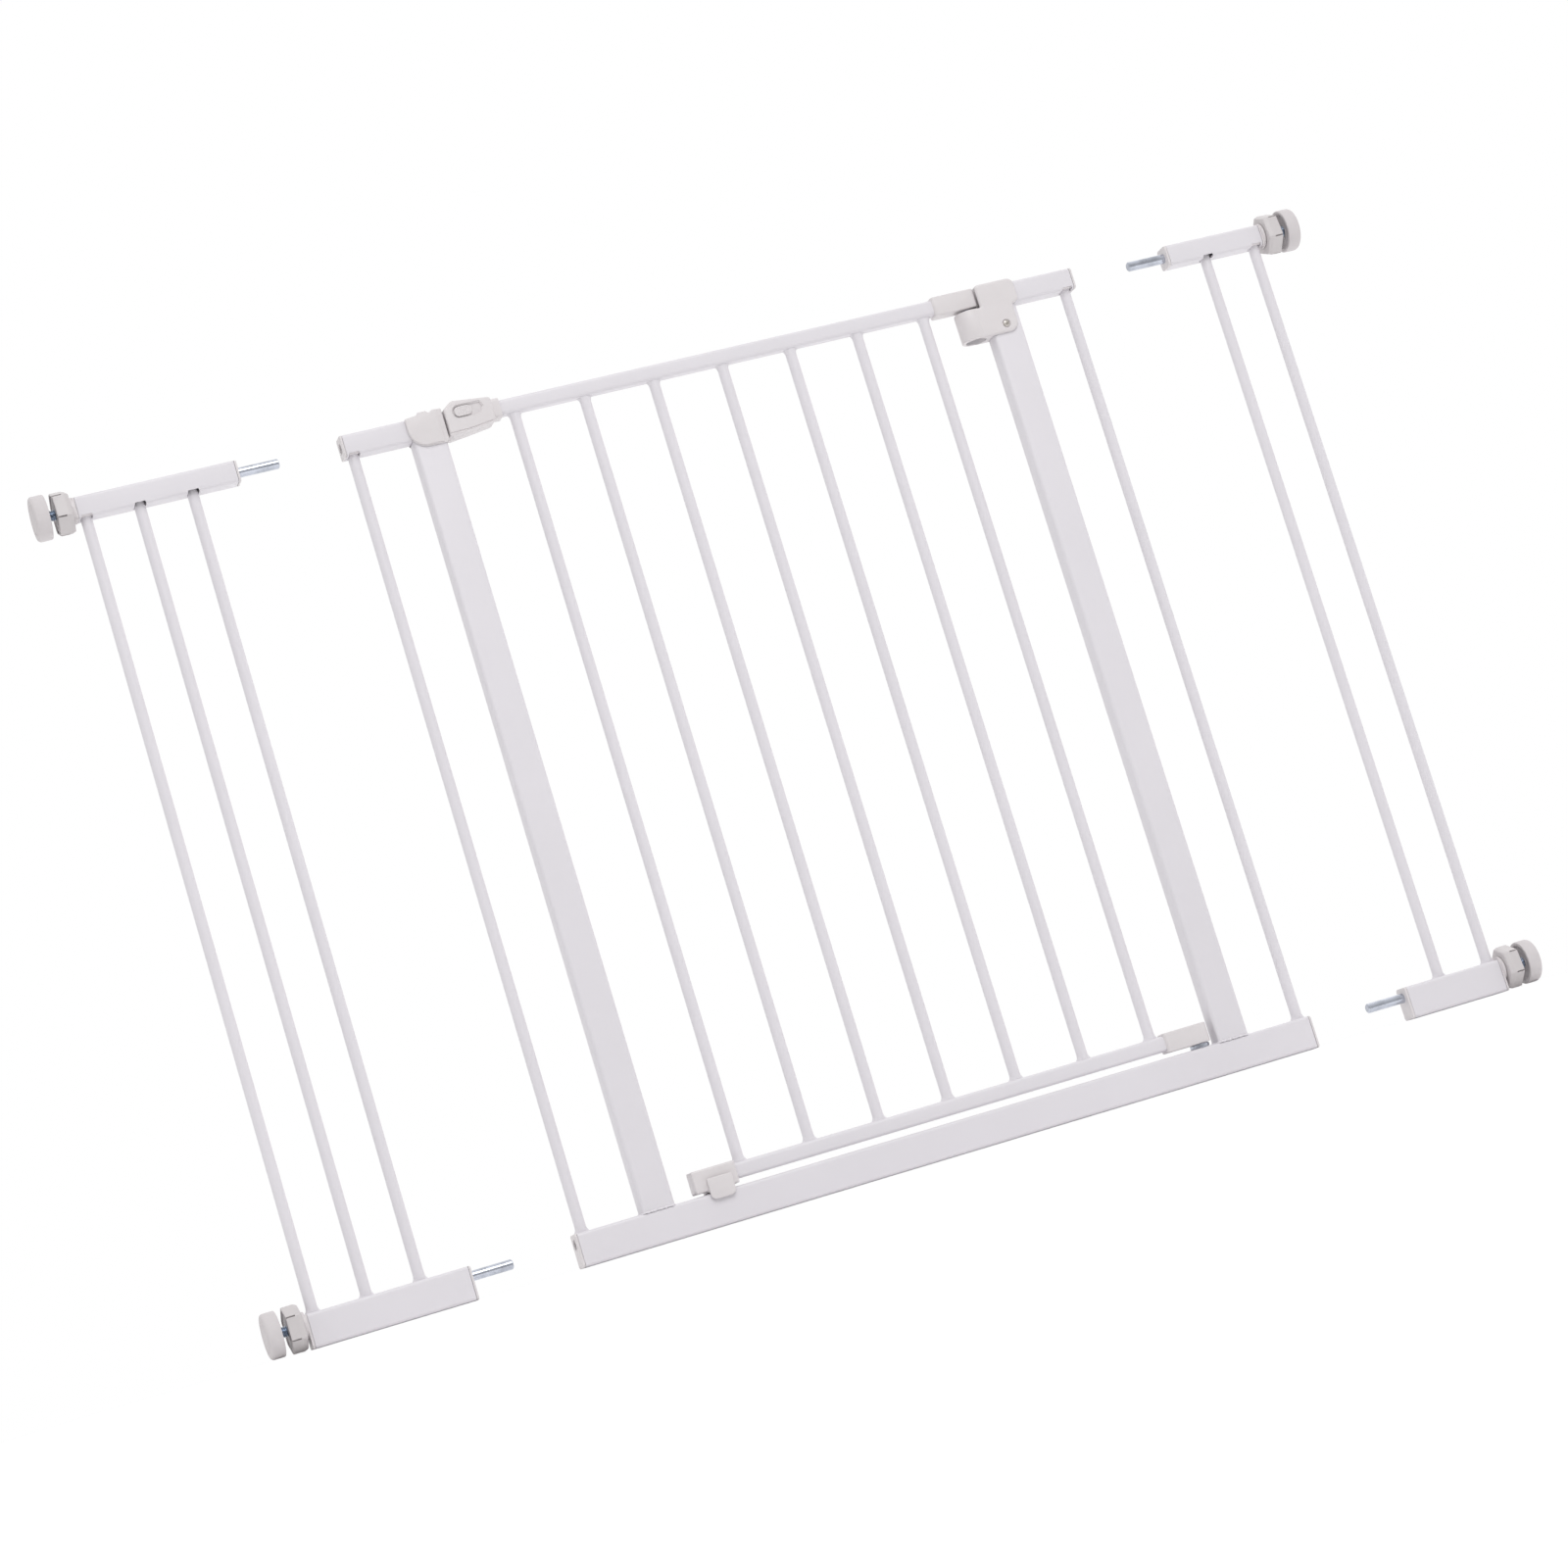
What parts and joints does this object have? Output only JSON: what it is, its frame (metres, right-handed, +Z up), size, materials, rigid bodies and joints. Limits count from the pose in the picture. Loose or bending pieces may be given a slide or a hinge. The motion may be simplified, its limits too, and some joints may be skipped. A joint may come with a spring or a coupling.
{
  "type": "safety baby gate",
  "caption": "Pressure-fit child safety gate: steel frame with a lift-and-swing barred door, thumb latch, and two plug-in width extensions with screw-out wall pads.",
  "frame": {"origin": "on the floor, at the middle of the underside of the main frame's bottom bar", "axes": "+X along the gate from the latch side to the hinge side, +Y through the gate away from the side with the thumb slider, +Z up"},
  "size_m": [1.222, 0.04, 0.7705],
  "materials": {
    "painted_steel": "smooth semi-gloss white powder coat",
    "moulded_plastic": "fine-grained off-white moulding",
    "soft_pad": "smooth off-white soft plastic",
    "zinc_steel": "bright zinc plate with a blue cast"
  },
  "bodies": {
    "frame": {"bottom_bar": "painted_steel", "left_post": "painted_steel", "right_post": "painted_steel", "top_tube_left": "painted_steel", "top_tube_right": "painted_steel", "side_bar_left": "painted_steel", "side_bar_right": "painted_steel", "socket_plug_top_left": "moulded_plastic", "socket_plug_bottom_left": "moulded_plastic", "socket_plug_top_right": "moulded_plastic", "socket_plug_bottom_right": "moulded_plastic", "latch_keeper_cap": "moulded_plastic", "hinge_bracket": "moulded_plastic", "hinge_bracket_screw": "zinc_steel"},
    "hinge_pins": {"upper_hinge_pin": "zinc_steel", "lower_hinge_pin": "zinc_steel"},
    "door": {"door_top_rail": "painted_steel", "door_bottom_rail": "painted_steel", "door_bar_1": "painted_steel", "door_bar_2": "painted_steel", "door_bar_3": "painted_steel", "door_bar_4": "painted_steel", "door_bar_5": "painted_steel", "door_bar_6": "painted_steel", "door_bar_7": "painted_steel", "latch_housing_front": "moulded_plastic", "latch_housing_rear": "moulded_plastic", "top_hinge_sleeve": "moulded_plastic", "bottom_hinge_sleeve": "moulded_plastic", "bottom_clip": "moulded_plastic"},
    "latch": {"latch_slider": "moulded_plastic"},
    "left_extension": {"left_extension_bar_1": "painted_steel", "left_extension_bar_2": "painted_steel", "left_extension_bar_3": "painted_steel", "left_extension_top_tube": "painted_steel", "left_extension_bottom_tube": "painted_steel", "left_coupling_pin_top": "zinc_steel", "left_coupling_pin_bottom": "zinc_steel", "left_guide_plug_top": "moulded_plastic", "left_guide_plug_bottom": "moulded_plastic"},
    "spindle_left_top": {"left_top_spindle": "zinc_steel", "left_top_pad": "soft_pad"},
    "nut_left_top": {"left_top_nut": "moulded_plastic"},
    "spindle_left_bottom": {"left_bottom_spindle": "zinc_steel", "left_bottom_pad": "soft_pad"},
    "nut_left_bottom": {"left_bottom_nut": "moulded_plastic"},
    "right_extension": {"right_extension_bar_1": "painted_steel", "right_extension_bar_2": "painted_steel", "right_extension_top_tube": "painted_steel", "right_extension_bottom_tube": "painted_steel", "right_coupling_pin_top": "zinc_steel", "right_coupling_pin_bottom": "zinc_steel", "right_guide_plug_top": "moulded_plastic", "right_guide_plug_bottom": "moulded_plastic"},
    "spindle_right_top": {"right_top_spindle": "zinc_steel", "right_top_pad": "soft_pad"},
    "nut_right_top": {"right_top_nut": "moulded_plastic"},
    "spindle_right_bottom": {"right_bottom_spindle": "zinc_steel", "right_bottom_pad": "soft_pad"},
    "nut_right_bottom": {"right_bottom_nut": "moulded_plastic"}
  },
  "joints": [
    {"name": "door_swing", "type": "hinge", "parent": "frame", "child": "hinge_pins", "pos_m": [0.248, 0, 0.39], "axis": [0, 0, 1], "range_deg": [-90, 90]},
    {"name": "door_lift", "type": "slide", "parent": "hinge_pins", "child": "door", "axis": [0, 0, 1], "range_m": [0, 0.009]},
    {"name": "latch_slide", "type": "slide", "parent": "door", "child": "latch", "axis": [1, 0, 0], "range_m": [0, 0.0085], "stiffness_N_per_m": 150, "springref_m": -0.004},
    {"name": "left_extension_slide", "type": "slide", "parent": "frame", "child": "left_extension", "axis": [1, 0, 0], "range_m": [0, 0.0937]},
    {"name": "left_top_nut_turn", "type": "hinge", "parent": "left_extension", "child": "nut_left_top", "pos_m": [-0.6065, 0, 0.75], "axis": [1, 0, 0], "range_deg": [-962, 4802]},
    {"name": "left_top_spindle_slide", "type": "slide", "parent": "left_extension", "child": "spindle_left_top", "axis": [-1, 0, 0], "range_m": [-0.004, 0.02]},
    {"name": "left_bottom_nut_turn", "type": "hinge", "parent": "left_extension", "child": "nut_left_bottom", "pos_m": [-0.6065, 0, 0.021], "axis": [1, 0, 0], "range_deg": [-962, 4802]},
    {"name": "left_bottom_spindle_slide", "type": "slide", "parent": "left_extension", "child": "spindle_left_bottom", "axis": [-1, 0, 0], "range_m": [-0.004, 0.02]},
    {"name": "right_extension_slide", "type": "slide", "parent": "frame", "child": "right_extension", "axis": [-1, 0, 0], "range_m": [0, 0.0967]},
    {"name": "right_top_nut_turn", "type": "hinge", "parent": "right_extension", "child": "nut_right_top", "pos_m": [0.5635, 0, 0.75], "axis": [-1, 0, 0], "range_deg": [-962, 4802]},
    {"name": "right_top_spindle_slide", "type": "slide", "parent": "right_extension", "child": "spindle_right_top", "axis": [1, 0, 0], "range_m": [-0.004, 0.02]},
    {"name": "right_bottom_nut_turn", "type": "hinge", "parent": "right_extension", "child": "nut_right_bottom", "pos_m": [0.5635, 0, 0.021], "axis": [-1, 0, 0], "range_deg": [-962, 4802]},
    {"name": "right_bottom_spindle_slide", "type": "slide", "parent": "right_extension", "child": "spindle_right_bottom", "axis": [1, 0, 0], "range_m": [-0.004, 0.02]}
  ],
  "couplings": [
    {"joint": "left_top_nut_turn", "follows": "left_top_spindle_slide", "rad_per_m": 4188.8},
    {"joint": "left_bottom_nut_turn", "follows": "left_bottom_spindle_slide", "rad_per_m": 4188.8},
    {"joint": "right_top_nut_turn", "follows": "right_top_spindle_slide", "rad_per_m": 4188.8},
    {"joint": "right_bottom_nut_turn", "follows": "right_bottom_spindle_slide", "rad_per_m": 4188.8}
  ]
}
